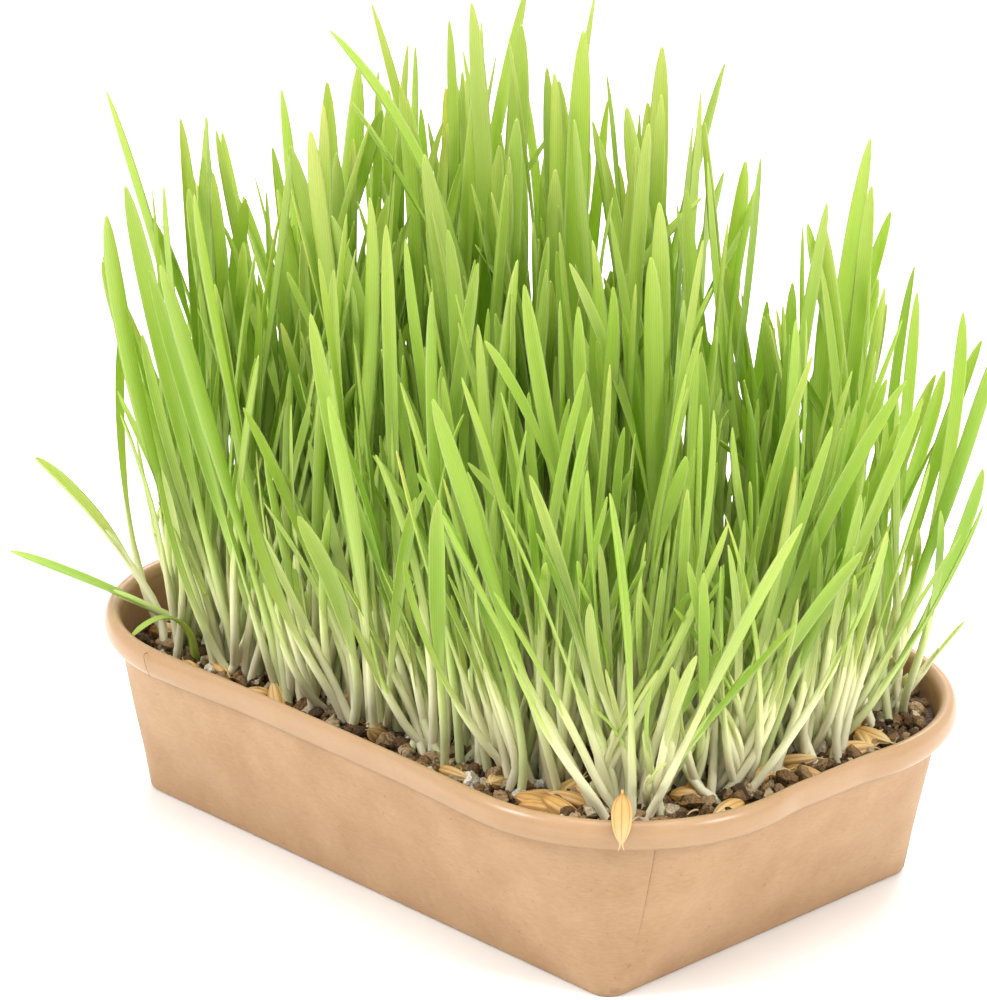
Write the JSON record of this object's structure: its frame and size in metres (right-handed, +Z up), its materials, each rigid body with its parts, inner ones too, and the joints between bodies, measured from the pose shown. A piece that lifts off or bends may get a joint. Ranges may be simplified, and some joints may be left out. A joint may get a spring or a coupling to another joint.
{
  "type": "wheatgrass tray",
  "caption": "Young cereal grass growing from seed in moist soil with perlite, in a rectangular kraft paper tray with rounded corners and a rolled rim.",
  "frame": {"origin": "middle of the tray's underside, on the surface that it stands on", "axes": "+X along the tray's length, +Y across it, +Z up; the long side -Y and the short side +X are the two seen in the picture"},
  "size_m": [0.1839, 0.1274, 0.166],
  "materials": {
    "kraft_board": "matt uncoated kraft board, faintly glossy where the rim is rolled",
    "potting_soil": "moist dark crumbs",
    "wheatgrass": "soft satin leaf, pale at the stem",
    "kernel_hull": "dry ribbed straw-coloured hull",
    "perlite": "chalky, pitted"
  },
  "bodies": {
    "root": {"kernel_01": "kernel_hull", "kernel_02": "kernel_hull", "kernel_03": "kernel_hull", "kernel_04": "kernel_hull", "kernel_05": "kernel_hull", "kernel_06": "kernel_hull", "kernel_07": "kernel_hull", "kernel_08": "kernel_hull", "kernel_09": "kernel_hull", "kernel_10": "kernel_hull", "kernel_11": "kernel_hull", "kernel_12": "kernel_hull", "kernel_13": "kernel_hull", "kernel_14": "kernel_hull", "kernel_over_rim": "kernel_hull", "perlite_01": "perlite", "perlite_02": "perlite", "perlite_03": "perlite", "perlite_04": "perlite", "perlite_05": "perlite", "perlite_06": "perlite", "soil": "potting_soil", "tray": "kraft_board", "tuft_01": "wheatgrass", "tuft_02": "wheatgrass", "tuft_03": "wheatgrass", "tuft_04": "wheatgrass", "tuft_05": "wheatgrass", "tuft_06": "wheatgrass", "tuft_07": "wheatgrass", "tuft_08": "wheatgrass", "tuft_09": "wheatgrass", "tuft_10": "wheatgrass", "tuft_11": "wheatgrass", "tuft_12": "wheatgrass", "tuft_13": "wheatgrass", "tuft_14": "wheatgrass", "tuft_15": "wheatgrass", "tuft_16": "wheatgrass", "tuft_17": "wheatgrass", "tuft_18": "wheatgrass", "tuft_19": "wheatgrass", "tuft_20": "wheatgrass", "tuft_21": "wheatgrass", "tuft_22": "wheatgrass", "tuft_23": "wheatgrass", "tuft_24": "wheatgrass", "tuft_25": "wheatgrass", "tuft_26": "wheatgrass", "tuft_27": "wheatgrass", "tuft_28": "wheatgrass"}
  },
  "joints": []
}
